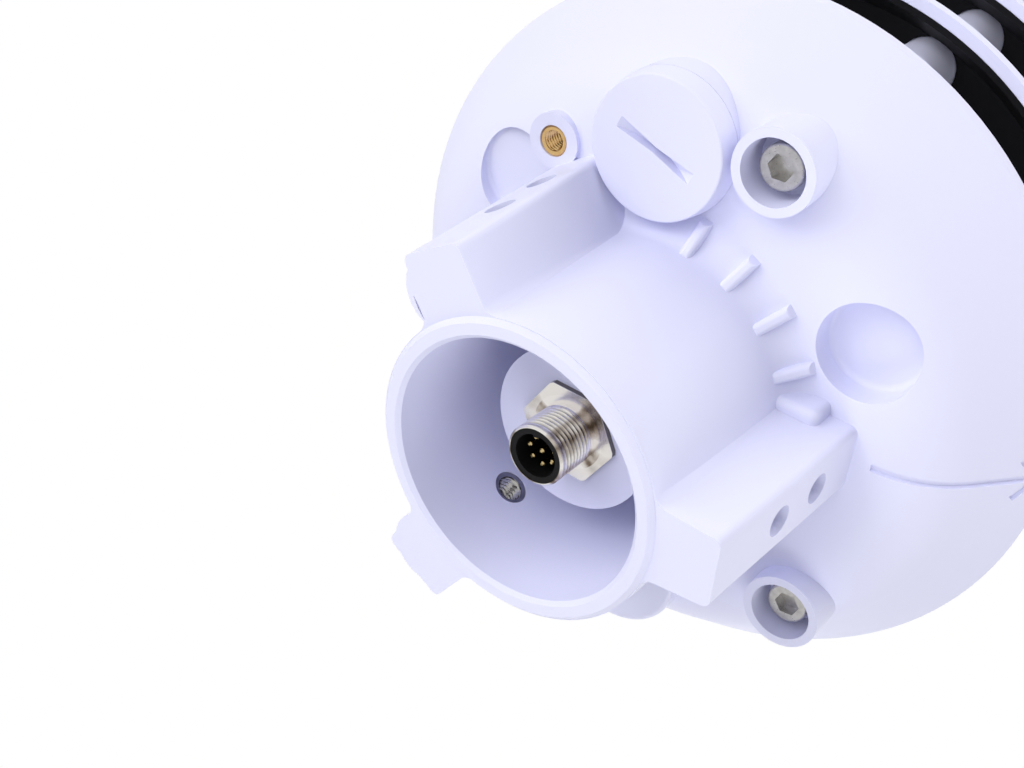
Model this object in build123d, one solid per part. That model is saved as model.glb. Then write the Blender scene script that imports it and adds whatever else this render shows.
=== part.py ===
from build123d import *
import math
import os

# Compact weather station, standing on the mouth of its pole tube.
# Millimetres. Z up, origin in the middle of the mouth, +Y toward north.

# Pole tube and bowl of the base moulding
SOCKET_R = 25.5
SOCKET_DEPTH = 42.0
RIM_R = 29.3
RIM_H = 1.0
TUBE_R = 29.5
TUBE_TOP_R = 30.6
NECK_FILLET = 6.3
FLAT_Z = 46.9
FLAT_R = 47.3
BOWL_ARC_R = 20.5
OUTER_R = 73.65
BAND_Z = 67.4
BOWL_TOP = 70.0
WALL = 2.5
REGISTER_R = 70.4
REGISTER_DEPTH = 3.4
PEDESTAL_R = 16.4
PEDESTAL_Z = 19.1
PEDESTAL_WALL = 3.0

# Lugs round the tube: azimuth, half width outside, reach at the foot, bulge along and across
LUGS = ((90.0, 6.7, 40.8, None), (-30.0, 6.4, 41.7, (33.9, -1.3)), (212.1, 7.0, 40.2, (33.2, 0.8)))
LUG_AZ = tuple(lug[0] for lug in LUGS)
LUG_Z = 1.0
LUG_DRAFT = 2.8
LUG_FLARE = 0.9
LUG_ROUND = 1.6
LUG_ROOT_R = 3.0
LUG_BULGE_R = 7.6
LUG_HOLE_R = 3.0
LUG_HOLE_Z = (21.2, 34.2)
BLIND_DEPTH = 10.0
SET_INSERT_R = 3.5
SET_INSERT_LEN = 7.0
SET_THREAD_R = 2.5
SET_MOUTH_R = 3.0

# Small ribs in the neck fillet
RIB_AZ = (11.1, 29.1, 47.1, 65.1)
RIB_W = 2.4
RIB_HEIGHT = 1.7

# Stop block in the corner of the north lug and the bowl
STOP_OUT = 37.6
STOP_ACROSS = 9.8
STOP_FOOT_Z = 40.8

# Tie screws that hold the whole stack together
TIE_AZ = (21.1, 133.9, 246.7)
TIE_PCR = 53.9
TIE_BOSS_R = 8.0
TIE_CBORE_R = 6.2
TIE_MOUTH_Z = 42.4
TIE_SEAT_Z = 50.5
TIE_HOLE_R = 2.75
TIE_SHANK_R = 2.45
TIE_HEAD_R = 4.3
TIE_HEAD_H = 5.0
TIE_LEN = 130.0
TIE_SOCKET_AF = 4.5
TIE_SOCKET_TURN = 10.0
COLUMN_R = 6.5

# Blanking plug
PLUG_R, PLUG_AZ = 47.6, -4.2
PLUG_HEAD_R = 13.6
PLUG_FACE_Z = 42.0
PLUG_SKIRT_T = 1.3
PLUG_GAP = 0.1
PLUG_SEAL_H = 1.0
PLUG_BOSS_R = 14.2
BOSS_ROOT_Z = 56.0
PLUG_SHANK_R = 8.2
PLUG_HOLE_R = 8.5
PLUG_SHANK_LEN = 7.5
COIN_SLOT_L = 17.2
COIN_SLOT_W = 2.4
COIN_SLOT_WAIST = 1.2
COIN_SLOT_AZ = 111.4
COIN_R = 15.0

# Round blind boss on the other side of the bowl
BLIND_BOSS = (46.0, 179.0, 14.6, 42.0)

# Accessory insert and the two round recesses
ACC_R, ACC_AZ = 49.2, -34.4
ACC_INSERT_R = 3.15
ACC_BORE_R = 2.1
ACC_BOSS_R = 5.6
ACC_LEN = 8.0
RECESS_1 = (47.3, -50.7, 9.7, 3.3, 0.8)
RECESS_2 = (46.7, 62.3, 9.6, 6.1, 1.2)

# Round connector in the pedestal
CON_TIP_Z = 7.7
CON_R = 6.0
CON_CARRIER_R = 5.5
CON_CAVITY_R = 4.3
CON_CAVITY_Z = 16.0
CON_HEX_AF = 17.6
CON_HEX_Z = 17.9
CON_HEX_AZ = 33.0
CON_REAR_R = 7.4
CON_REAR_Z = 29.0
PIN_R = 0.5
PIN_PCR = 2.75
PIN_CHAMFER = 0.25
PIN_TIP_Z = 9.7
PIN_FIRST_AZ = -85.0
KEY_AZ = -7.9

# Louvre stack
PITCH = 27.4
COVER_TOP = 78.2
PLATE_COUNT = 3
PLATE_LIP_Z = 93.0
PLATE_WALL_H = 2.4
LIP_R = 71.4
CEILING_R = 65.6
PLATE_T = 2.4
LINER_T = 1.2
VENT_R = 28.0
PILLAR_R = 6.0
PILLAR_OUT = 59.3
PILLAR_GAP = 0.2

# Wind head
HEAD_Z = COVER_TOP + PITCH * PLATE_COUNT
HEAD_FLOOR_T = 3.0
HEAD_R = 70.0
HEAD_TOP = 188.0
GAP_TOP = 223.0
CAP_TOP = 241.0
CAP_R = 62.0
POST_R = 5.0
POST_PCR = 50.0
SENSOR_R = 8.0
SENSOR_PCR = 27.0

FIT = 0.15

# Circuit board on three posts of the bowl
BOARD_Z = 62.0
BOARD_R = 62.0
BOARD_T = 1.6
BOARD_AZ = (80.0, 200.0, 320.0)
BOARD_PCR = 36.0
BOARD_POST_R = 4.0
BOARD_SCREW_R = 1.4

# Base cover's seal and the air probe
SEAL_BED_R = 68.8
PROBE_R = 7.0
PROBE_TOP = 137.0
FILTER_H = 26.0

# Inside of the wind head, its transducers and its cap
WIND_BOARD_Z = 169.0
WIND_BOARD_R = 42.0
WIND_POST_AZ = (70.0, 190.0, 310.0)
WIND_POST_PCR = 34.0
TIE_INSERT_R = 3.5
TIE_INSERT_LEN = 9.5
POST_AZ = (81.1, 193.9, 317.3)
SENSOR_AZ = (0.0, 90.0, 180.0, 270.0)
SEAL_T = 1.5
CAP_SCREW_R = 1.9
CAP_SEAT_Z = 232.0

# Room round a screw in its thread, and round a cord in its groove
THREAD_GAP = 0.03


def polar(radius, azimuth, z=0.0):
    a = math.radians(azimuth)
    return (radius * math.cos(a), radius * math.sin(a), z)


def turned(points):
    """Solid of revolution about Z; points are (radius, height) pairs."""
    return revolve(make_face(Plane.XZ * Polyline(*points, close=True)), Axis.Z)


def rod(radius, z0, z1, at=(0, 0)):
    body = Cylinder(radius, z1 - z0, align=(Align.CENTER, Align.CENTER, Align.MIN))
    return Pos(at[0], at[1], z0) * body


def ring(outer, inner, z0, z1, at=(0, 0)):
    return rod(outer, z0, z1, at) - rod(inner, z0 - 1, z1 + 1, at)


def bar(x0, x1, width, z0, z1):
    """Bar along X from x0 to x1, centred on Y."""
    return Pos((x0 + x1) / 2, 0, (z0 + z1) / 2) * Box(x1 - x0, width, z1 - z0)


def spoke(radius, x0, x1, z):
    """Round bar along X at height z."""
    align = (Align.CENTER, Align.CENTER, Align.MIN)
    return Pos(x0, 0, z) * Rot(0, 90, 0) * Cylinder(radius, x1 - x0, align=align)


def obround(r0, r1, half_width, z0, z1):
    """Upright obround column along X, with its end axes at r0 and r1."""
    body = rod(half_width, z0, z1, (r0, 0)) + rod(half_width, z0, z1, (r1, 0))
    return body + bar(r0, r1, 2 * half_width, z0, z1)


def around(body, azimuths):
    return [Rot(0, 0, a) * body for a in azimuths]


def hexagon(across_flats, z0, z1, azimuth=0.0):
    corner_r = across_flats / math.sqrt(3)
    prism = extrude(RegularPolygon(corner_r, 6), z1 - z0)
    return Pos(0, 0, z0) * Rot(0, 0, azimuth) * prism


def bowl_wall(offset, z_end):
    """Arc from the flat and the cone tangent to it, offset inward by the wall."""
    centre_z = FLAT_Z + BOWL_ARC_R
    dip = math.acos(BOWL_ARC_R / math.hypot(OUTER_R - FLAT_R, centre_z - BAND_Z))
    dip -= math.atan2(centre_z - BAND_Z, OUTER_R - FLAT_R)
    radius = BOWL_ARC_R - offset

    def on_arc(angle):
        return (FLAT_R + radius * math.cos(angle), centre_z - radius * math.sin(angle))

    arc = ThreePointArc((FLAT_R, centre_z - radius), on_arc((dip + math.pi / 2) / 2), on_arc(dip))
    start = on_arc(dip)
    end = (start[0] + (z_end - start[1]) * math.tan(dip), z_end)
    return arc, Line(start, end), end


def lug_plan(half, reach):
    """Outline of a lug from below: sides that flare toward the tube and run into it concave."""
    root = half + LUG_FLARE
    fillet_x = math.sqrt((TUBE_R + LUG_ROOT_R) ** 2 - (root + LUG_ROOT_R) ** 2)
    share = TUBE_R / (TUBE_R + LUG_ROOT_R)
    tube_x = fillet_x * share
    tube_y = (root + LUG_ROOT_R) * share
    away = math.hypot(tube_x - fillet_x, tube_y - LUG_ROOT_R - 2 * root)
    mid_x = fillet_x + LUG_ROOT_R * (tube_x - fillet_x) / away
    mid_y = root + LUG_ROOT_R + LUG_ROOT_R * (tube_y - LUG_ROOT_R - 2 * root) / away
    far = reach + LUG_DRAFT + 1
    return make_face(Curve([
        Polyline((tube_x, -tube_y), (SOCKET_R - 4, -tube_y), (SOCKET_R - 4, tube_y), (tube_x, tube_y)),
        ThreePointArc((tube_x, tube_y), (mid_x, mid_y), (fillet_x, root)),
        Polyline((fillet_x, root), (far, half), (far, -half), (fillet_x, -root)),
        ThreePointArc((fillet_x, -root), (mid_x, -mid_y), (tube_x, -tube_y)),
    ]))


def lug(half, reach, bulge):
    plan = Pos(0, 0, LUG_Z) * extrude(lug_plan(half, reach), FLAT_Z + 1 - LUG_Z)
    side = [(0, LUG_Z), (reach, LUG_Z), (reach + LUG_DRAFT, FLAT_Z + 1), (0, FLAT_Z + 1)]
    body = plan & extrude(make_face(Plane.XZ * Polyline(*side, close=True)), 3 * half, both=True)
    corners = [e for e in body.edges()
               if e.center().X > reach and abs(e.center().Y) > half - 1 and e.length > FLAT_Z / 2]
    body = fillet(ShapeList(corners), LUG_ROUND)
    if bulge:
        body += rod(LUG_BULGE_R, LUG_Z, FLAT_Z + 1, bulge)
    return body


def neck_rib():
    """Bar with a rounded back that stands proud of the neck fillet; its length is along X."""
    neck_z = FLAT_Z - NECK_FILLET
    inner = (TUBE_TOP_R + 0.3, neck_z + 0.6)
    outer = (TUBE_TOP_R + NECK_FILLET - 0.9, FLAT_Z - RIB_HEIGHT)
    side = [(TUBE_R - 1, inner[1]), inner, outer, (outer[0] + 0.5, FLAT_Z + 1), (TUBE_R - 1, FLAT_Z + 1)]
    body = extrude(make_face(Plane.XZ * Polyline(*side, close=True)), RIB_W / 2, both=True)
    back = [e for e in body.edges()
            if inner[0] < e.center().X < outer[0] + 0.1 and inner[1] + 1 < e.center().Z < FLAT_Z - 0.9]
    return fillet(ShapeList(back), RIB_W * 0.38)


def stop_block():
    body = bar(TUBE_R - 1, STOP_OUT, STOP_ACROSS * 2, STOP_FOOT_Z, FLAT_Z + 1)
    body -= bar(0, STOP_OUT + 1, 8.0, STOP_FOOT_Z - 1, FLAT_Z + 2)
    body -= Pos(0, STOP_ACROSS, 0) * bar(0, STOP_OUT + 1, STOP_ACROSS * 2, STOP_FOOT_Z - 1, FLAT_Z + 2)
    low = body.edges().group_by(Axis.Z)[0]
    tall = [e for e in body.edges() if e.center().X > STOP_OUT - 0.1 and abs(e.center().Y) > STOP_ACROSS - 0.1]
    edges = [e for e in low if e.center().X > TUBE_R and abs(e.center().Y) > 5]
    return fillet(ShapeList(edges + [e for e in tall if e.center().Z > STOP_FOOT_Z + 1]), 1.7)


def base_moulding():
    # Outside: stepped rim, tube, neck fillet, flat, bowl arc and band
    neck_r = TUBE_TOP_R + NECK_FILLET
    neck_z = FLAT_Z - NECK_FILLET
    lean = NECK_FILLET * math.sqrt(0.5)
    outline = [
        Polyline((0, 0), (RIM_R - 0.9, 0), (RIM_R, 0.9), (RIM_R, RIM_H), (TUBE_R, RIM_H),
                 (TUBE_TOP_R, neck_z)),
        ThreePointArc((TUBE_TOP_R, neck_z), (neck_r - lean, neck_z + lean), (neck_r, FLAT_Z)),
        Line((neck_r, FLAT_Z), (FLAT_R, FLAT_Z)),
        *bowl_wall(0, BAND_Z)[:2],
        Polyline(bowl_wall(0, BAND_Z)[2], (OUTER_R, BOWL_TOP), (0, BOWL_TOP), (0, 0)),
    ]
    body = revolve(make_face(Plane.XZ * Curve(outline)), Axis.Z)

    # Lugs with drafted outer faces, merging into the bowl's flat underside
    for azimuth, half, reach, bulge in LUGS:
        body += Rot(0, 0, azimuth) * lug(half, reach, bulge)

    # Ribs that stiffen the neck fillet, and the stop block
    for piece in around(neck_rib(), RIB_AZ):
        body += piece
    body += Rot(0, 0, LUG_AZ[0]) * stop_block()

    # Bosses on the underside
    for azimuth in TIE_AZ:
        body += rod(TIE_BOSS_R, TIE_MOUTH_Z, BOSS_ROOT_Z, polar(TIE_PCR, azimuth))
    acc = polar(ACC_R, ACC_AZ)
    plug = polar(PLUG_R, PLUG_AZ)
    blind_r, blind_az, blind_radius, blind_z = BLIND_BOSS
    blind_boss = rod(blind_radius, blind_z, BOSS_ROOT_Z, polar(blind_r, blind_az))
    body += fillet(blind_boss.edges().sort_by(Axis.Z)[0], 1.0)
    body += rod(PLUG_BOSS_R, FLAT_Z, BOSS_ROOT_Z, plug)
    body += rod(ACC_BOSS_R, FLAT_Z - 1.0, FLAT_Z + 3, acc)

    # Cavity of the bowl and of the pedestal
    shaft_r = PEDESTAL_R - WALL
    roof_z = SOCKET_DEPTH + WALL
    step_r = SOCKET_R + 2.6
    register_z = BOWL_TOP - REGISTER_DEPTH
    inner = [
        Polyline((0, PEDESTAL_Z + PEDESTAL_WALL), (shaft_r, PEDESTAL_Z + PEDESTAL_WALL),
                 (shaft_r, roof_z), (step_r, roof_z), (step_r, FLAT_Z + WALL),
                 (FLAT_R, FLAT_Z + WALL)),
        *bowl_wall(WALL, register_z)[:2],
        Polyline(bowl_wall(WALL, register_z)[2], (REGISTER_R, register_z),
                 (REGISTER_R, BOWL_TOP + 1), (0, BOWL_TOP + 1),
                 (0, PEDESTAL_Z + PEDESTAL_WALL)),
    ]
    hollow = revolve(make_face(Plane.XZ * Curve(inner)), Axis.Z)

    # What stands up inside the bowl: columns, thread boss, recess cups, board posts
    keep = Part()
    for azimuth in TIE_AZ:
        x, y, z = polar(TIE_PCR, azimuth)
        keep += rod(TIE_BOSS_R + 0.5, FLAT_Z, TIE_SEAT_Z + WALL, (x, y))
        keep += rod(COLUMN_R, FLAT_Z, BOWL_TOP, (x, y))
    keep += rod(PLUG_HOLE_R + 3.0, FLAT_Z, FLAT_Z + PLUG_SHANK_LEN + 0.5, plug)
    keep += rod(ACC_BOSS_R, FLAT_Z, FLAT_Z + ACC_LEN + 1.5, acc)
    for centre_r, azimuth, radius, depth, floor_round in (RECESS_1, RECESS_2):
        x, y, z = polar(centre_r, azimuth)
        keep += rod(radius + WALL, FLAT_Z, FLAT_Z + depth + WALL, (x, y))
    for azimuth in BOARD_AZ:
        keep += rod(BOARD_POST_R, FLAT_Z, BOARD_Z, polar(BOARD_PCR, azimuth))
        keep -= rod(BOARD_SCREW_R + THREAD_GAP, BOARD_Z - 7.0, BOARD_Z + 1, polar(BOARD_PCR, azimuth))
    body -= hollow - keep

    # Socket for the pole, round the pedestal
    socket = turned([(PEDESTAL_R, PEDESTAL_Z), (PEDESTAL_R, SOCKET_DEPTH),
                     (SOCKET_R, SOCKET_DEPTH), (SOCKET_R, 0.8), (SOCKET_R + 0.8, 0),
                     (SOCKET_R + 0.8, -1), (0, -1), (0, PEDESTAL_Z)])
    body -= socket

    # Holes through the pedestal end and in the lugs
    body -= rod(CON_REAR_R + FIT, PEDESTAL_Z - 1, PEDESTAL_Z + PEDESTAL_WALL + 1)
    far = LUGS[1][2] + LUG_DRAFT + 1
    through = spoke(LUG_HOLE_R, SOCKET_R - 2, far, LUG_HOLE_Z[0])
    seat = spoke(SET_INSERT_R, SOCKET_R - 2, SOCKET_R + 0.2 + SET_INSERT_LEN, LUG_HOLE_Z[0])
    blind = spoke(LUG_HOLE_R, LUGS[0][2] + 1 - BLIND_DEPTH, far, LUG_HOLE_Z[1])
    for azimuth in LUG_AZ:
        for cut in (through, seat, blind):
            body -= Rot(0, 0, azimuth) * cut

    # Counterbored screw holes, threaded plug hole and its spot face, insert hole
    for azimuth in TIE_AZ:
        x, y, z = polar(TIE_PCR, azimuth)
        body -= rod(TIE_CBORE_R, TIE_MOUTH_Z - 1, TIE_SEAT_Z, (x, y))
        body -= rod(TIE_HOLE_R, TIE_SEAT_Z - 1, BOWL_TOP + 1, (x, y))
    body -= rod(PLUG_HEAD_R + 0.1, FLAT_Z - 6, FLAT_Z, plug)
    body -= rod(PLUG_HOLE_R, FLAT_Z - 1, FLAT_Z + PLUG_SHANK_LEN + 2, plug)
    body -= rod(ACC_INSERT_R, FLAT_Z - 2, FLAT_Z - 0.9 + ACC_LEN, acc)

    # Round recesses with rounded floors
    for centre_r, azimuth, radius, depth, floor_round in (RECESS_1, RECESS_2):
        x, y, z = polar(centre_r, azimuth)
        cutter = rod(radius, FLAT_Z - 0.5, FLAT_Z + depth, (x, y))
        cutter = fillet(cutter.edges().sort_by(Axis.Z)[-1], floor_round)
        if azimuth == RECESS_1[1]:
            cutter -= rod(ACC_BOSS_R, FLAT_Z - 2, FLAT_Z + depth + 1, acc)
            shade = bar(0, LUGS[1][2] + LUG_DRAFT, 2 * LUGS[1][1] + 1, LUG_Z, FLAT_Z + depth + 1)
            cutter -= Rot(0, 0, LUG_AZ[1]) * shade
        body -= cutter
    return body


def pole_inserts():
    body = spoke(SET_INSERT_R, SOCKET_R + 0.2, SOCKET_R + 0.2 + SET_INSERT_LEN, LUG_HOLE_Z[0])
    bore = spoke(SET_THREAD_R, SOCKET_R - 1, SOCKET_R + SET_INSERT_LEN + 1, LUG_HOLE_Z[0])
    return around(body - bore, LUG_AZ)


def accessory_insert():
    acc = polar(ACC_R, ACC_AZ)
    z0 = FLAT_Z - 0.9
    body = rod(ACC_INSERT_R, z0, z0 + ACC_LEN, acc)
    body -= rod(ACC_BORE_R, z0 - 1, z0 + ACC_LEN - 1.2, acc)
    return chamfer(body.edges().filter_by(GeomType.CIRCLE).sort_by(Axis.Z)[0], 0.4)


def blanking_plug():
    head_top = FLAT_Z - PLUG_SEAL_H
    head = rod(PLUG_HEAD_R, PLUG_FACE_Z, FLAT_Z - PLUG_GAP)
    head = fillet(head.edges().sort_by(Axis.Z)[0], 0.3)
    head -= rod(PLUG_HEAD_R - PLUG_SKIRT_T, head_top, FLAT_Z)
    shank = rod(PLUG_SHANK_R, head_top - 1, head_top + PLUG_SHANK_LEN + 0.4)
    shank = chamfer(shank.edges().sort_by(Axis.Z)[-1], 0.8)
    body = head + shank - rod(PLUG_SHANK_R - 2.2, FLAT_Z, FLAT_Z + PLUG_SHANK_LEN + 2)
    # Coin slot: a disc-shaped cut, deepest in the middle, that widens toward its ends
    depth = COIN_R - math.sqrt(COIN_R ** 2 - (COIN_SLOT_L / 2) ** 2)
    coin = Rot(90, 0, 0) * Cylinder(COIN_R, COIN_SLOT_W)
    waist = [(-COIN_SLOT_L / 2, -COIN_SLOT_W / 2), (0, -COIN_SLOT_WAIST / 2),
             (COIN_SLOT_L / 2, -COIN_SLOT_W / 2), (COIN_SLOT_L / 2, COIN_SLOT_W / 2),
             (0, COIN_SLOT_WAIST / 2), (-COIN_SLOT_L / 2, COIN_SLOT_W / 2)]
    tapered = Pos(0, 0, PLUG_FACE_Z - 0.5) * extrude(make_face(Polyline(*waist, close=True)), depth + 1)
    cut = Pos(0, 0, PLUG_FACE_Z + depth - COIN_R) * coin & tapered
    body -= Rot(0, 0, COIN_SLOT_AZ) * cut
    x, y, z = polar(PLUG_R, PLUG_AZ)
    return Pos(x, y, 0) * body


def plug_seal():
    at = polar(PLUG_R, PLUG_AZ)
    return ring(PLUG_HEAD_R - PLUG_SKIRT_T - 0.3, PLUG_SHANK_R + 0.3, FLAT_Z - PLUG_SEAL_H, FLAT_Z, at)


def connector_shell():
    tip = chamfer(rod(CON_R, CON_TIP_Z, CON_HEX_Z + 0.1).edges().sort_by(Axis.Z)[0], 0.35)
    flange = hexagon(CON_HEX_AF, CON_HEX_Z, PEDESTAL_Z, CON_HEX_AZ)
    corner_r = CON_HEX_AF / math.sqrt(3)
    flange &= turned([(0, CON_HEX_Z), (CON_HEX_AF / 2 + 0.4, CON_HEX_Z),
                      (corner_r + 0.05, CON_HEX_Z + 0.55), (corner_r + 0.05, PEDESTAL_Z),
                      (0, PEDESTAL_Z)])
    rear = rod(CON_REAR_R, PEDESTAL_Z - 0.1, CON_REAR_Z)
    body = tip + flange + rear
    body -= rod(CON_CARRIER_R, CON_TIP_Z - 1, CON_REAR_Z + 1)
    # Groove for the gasket in the back of the flange
    return body - ring(CON_REAR_R + 0.9, CON_REAR_R - 0.4, PEDESTAL_Z - 0.6, PEDESTAL_Z + 0.4)


def connector_gasket():
    return ring(CON_REAR_R + 0.85, CON_REAR_R - 0.35, PEDESTAL_Z - 0.6, PEDESTAL_Z)


def connector_carrier():
    body = rod(CON_CARRIER_R - 0.02, CON_TIP_Z + 0.15, CON_REAR_Z + 2)
    body -= rod(CON_CAVITY_R, CON_TIP_Z - 1, CON_CAVITY_Z)
    key = bar(CON_CAVITY_R - 0.8, CON_CAVITY_R + 0.5, 1.3, CON_TIP_Z + 0.6, CON_CAVITY_Z + 0.5)
    body += Rot(0, 0, KEY_AZ) * key
    for x, y in pin_places():
        body -= rod(PIN_R + 0.02, CON_CAVITY_Z - 1, CON_REAR_Z + 3, (x, y))
    return body


def pin_places():
    places = [polar(PIN_PCR, PIN_FIRST_AZ + 360 / 7 * i)[:2] for i in range(7)]
    return places + [(0, 0)]


def connector_pins():
    pins = []
    for at in pin_places():
        pin = rod(PIN_R, PIN_TIP_Z, CON_REAR_Z + 6, at)
        pins.append(chamfer(pin.faces().sort_by(Axis.Z)[0].edges(), PIN_CHAMFER))
    return pins


def connector_nut():
    z0 = PEDESTAL_Z + PEDESTAL_WALL
    body = hexagon(20.0, z0, z0 + 4.0)
    return body - rod(CON_REAR_R + 0.05, z0 - 1, z0 + 5)


def main_board():
    body = rod(BOARD_R, BOARD_Z, BOARD_Z + BOARD_T)
    for azimuth in TIE_AZ:
        x, y, z = polar(TIE_PCR, azimuth)
        body -= rod(COLUMN_R + 0.8, BOARD_Z - 1, BOARD_Z + BOARD_T + 1, (x, y))
        body -= Rot(0, 0, azimuth) * bar(TIE_PCR, BOARD_R + 2, 2 * COLUMN_R + 1.6,
                                         BOARD_Z - 1, BOARD_Z + BOARD_T + 1)
    for azimuth in BOARD_AZ:
        x, y, z = polar(BOARD_PCR, azimuth)
        body -= rod(BOARD_SCREW_R + 0.3, BOARD_Z - 1, BOARD_Z + BOARD_T + 1, (x, y))
    return body


def board_screws():
    top = BOARD_Z + BOARD_T
    head = fillet(rod(2.8, top, top + 2.0).edges().sort_by(Axis.Z)[-1], 0.8)
    shank = rod(BOARD_SCREW_R, BOARD_Z - 6.0, top + 0.1)
    slot = Pos(0, 0, top + 1.8) * (Box(3.2, 0.8, 1.6) + Box(0.8, 3.2, 1.6))
    return around(Pos(BOARD_PCR, 0, 0) * (head + shank - slot), BOARD_AZ)


def stack_profile(z_lip, z_top):
    """Radius of a skirted disc's sloping outside at the height of its flat top."""
    slope = (LIP_R - CEILING_R) / (PITCH + COVER_TOP - PLATE_T - PLATE_LIP_Z)
    return OUTER_R - (z_top - z_lip - PLATE_WALL_H) * slope


def base_cover():
    top_r = stack_profile(BOWL_TOP - PLATE_WALL_H, COVER_TOP)
    foot_r = OUTER_R - 0.25
    rim_r = REGISTER_R - FIT
    shell = turned([(0, COVER_TOP), (top_r, COVER_TOP), (foot_r, BOWL_TOP + 0.3),
                    (foot_r - 0.3, BOWL_TOP), (rim_r, BOWL_TOP), (rim_r, BOWL_TOP - 0.6),
                    (SEAL_BED_R, BOWL_TOP - 0.6), (SEAL_BED_R, BOWL_TOP - 2.5),
                    (rim_r, BOWL_TOP - 2.5), (rim_r, BOWL_TOP - 3.1),
                    (SEAL_BED_R - 2.0, BOWL_TOP - 3.1), (SEAL_BED_R - 2.0, BOWL_TOP),
                    (top_r - 3.0, COVER_TOP - PLATE_T), (0, COVER_TOP - PLATE_T)])
    column = rod(COLUMN_R, BOWL_TOP, COVER_TOP - 1, (TIE_PCR, 0))
    hole = rod(TIE_HOLE_R, BOWL_TOP - 1, COVER_TOP + 1, (TIE_PCR, 0))
    for azimuth in TIE_AZ:
        shell += Rot(0, 0, azimuth) * column
    for azimuth in TIE_AZ:
        shell -= Rot(0, 0, azimuth) * hole
    # Hole for the air probe in the middle
    shell += rod(PROBE_R + 4, COVER_TOP - 6, COVER_TOP - 1)
    return shell - rod(PROBE_R - 1.5 + FIT, COVER_TOP - 8, COVER_TOP + 1)


def cover_seal():
    mid = (SEAL_BED_R + REGISTER_R) / 2
    half = (REGISTER_R - SEAL_BED_R) / 2 - THREAD_GAP
    z = BOWL_TOP - 1.55
    section = Plane.XZ * Pos(mid, z) * Circle(half)
    return revolve(section, Axis.Z)


def louvre_plate(level):
    lift = PITCH * (level - 1)
    z_lip = PLATE_LIP_Z + lift
    z_top = COVER_TOP + PITCH * level
    z_foot = COVER_TOP + lift
    top_r = stack_profile(z_lip, z_top)
    shell = turned([(VENT_R, z_top), (top_r - 1.5, z_top), (top_r, z_top - 1.0),
                    (OUTER_R, z_lip + PLATE_WALL_H), (OUTER_R, z_lip), (LIP_R, z_lip),
                    (CEILING_R, z_top - PLATE_T), (VENT_R, z_top - PLATE_T)])
    pillar = obround(TIE_PCR, PILLAR_OUT, PILLAR_R, z_foot, z_top - 1)
    hole = rod(TIE_HOLE_R, z_foot - 1, z_top + 1, (TIE_PCR, 0))
    for azimuth in TIE_AZ:
        shell += Rot(0, 0, azimuth) * pillar
    for azimuth in TIE_AZ:
        shell -= Rot(0, 0, azimuth) * hole
    return shell


def louvre_liner(level):
    lift = PITCH * (level - 1)
    z_lip = PLATE_LIP_Z + lift + 0.4
    z_roof = COVER_TOP + PITCH * level - PLATE_T
    slope = (LIP_R - CEILING_R) / (z_roof - PLATE_LIP_Z - lift)
    low_r = LIP_R - 0.4 * slope
    inset = LINER_T * 1.06
    shell = turned([(VENT_R + 0.5, z_roof), (CEILING_R, z_roof), (low_r, z_lip),
                    (low_r - inset, z_lip), (CEILING_R - inset + LINER_T * slope, z_roof - LINER_T),
                    (VENT_R + 0.5, z_roof - LINER_T)])
    hole = obround(TIE_PCR, PILLAR_OUT, PILLAR_R + PILLAR_GAP, z_roof - 4, z_roof + 1)
    for azimuth in TIE_AZ:
        shell -= Rot(0, 0, azimuth) * hole
    return shell


def probe_body():
    body = rod(PROBE_R, COVER_TOP, PROBE_TOP - FILTER_H)
    body = chamfer(body.edges().sort_by(Axis.Z)[0], 0.5)
    body += rod(PROBE_R - 1.5, COVER_TOP - 8, COVER_TOP + 1)
    neck_z = PROBE_TOP - FILTER_H
    body += rod(PROBE_R - 1.8, neck_z - 1, neck_z + 6)
    return body - rod(2.0, COVER_TOP - 9, COVER_TOP + 4)


def probe_filter():
    z0 = PROBE_TOP - FILTER_H
    body = rod(PROBE_R - 0.3, z0, PROBE_TOP)
    body = fillet(body.edges().sort_by(Axis.Z)[-1], 3.0)
    return body - rod(PROBE_R - 1.75, z0 - 1, PROBE_TOP - 2)


def head_columns(z0, z1):
    return around(rod(COLUMN_R, z0, z1, (TIE_PCR, 0)), TIE_AZ)


def wind_floor():
    z1 = HEAD_Z + HEAD_FLOOR_T
    body = turned([(0, HEAD_Z), (HEAD_R - 6.0, HEAD_Z), (HEAD_R - 3.2, z1), (0, z1)])
    body += ring(HEAD_R - WALL - 2.9, HEAD_R - WALL - 4.9, HEAD_Z + 1, z1 + 2.5)
    for azimuth in TIE_AZ:
        x, y, z = polar(TIE_PCR, azimuth)
        body -= rod(TIE_HOLE_R, HEAD_Z - 1, z1 + 1, (x, y))
    for azimuth in WIND_POST_AZ:
        x, y, z = polar(WIND_POST_PCR, azimuth)
        body += rod(BOARD_POST_R, HEAD_Z + 1, WIND_BOARD_Z, (x, y))
        body -= rod(BOARD_SCREW_R + THREAD_GAP, WIND_BOARD_Z - 5.5, WIND_BOARD_Z + 1, (x, y))
    return body


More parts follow.
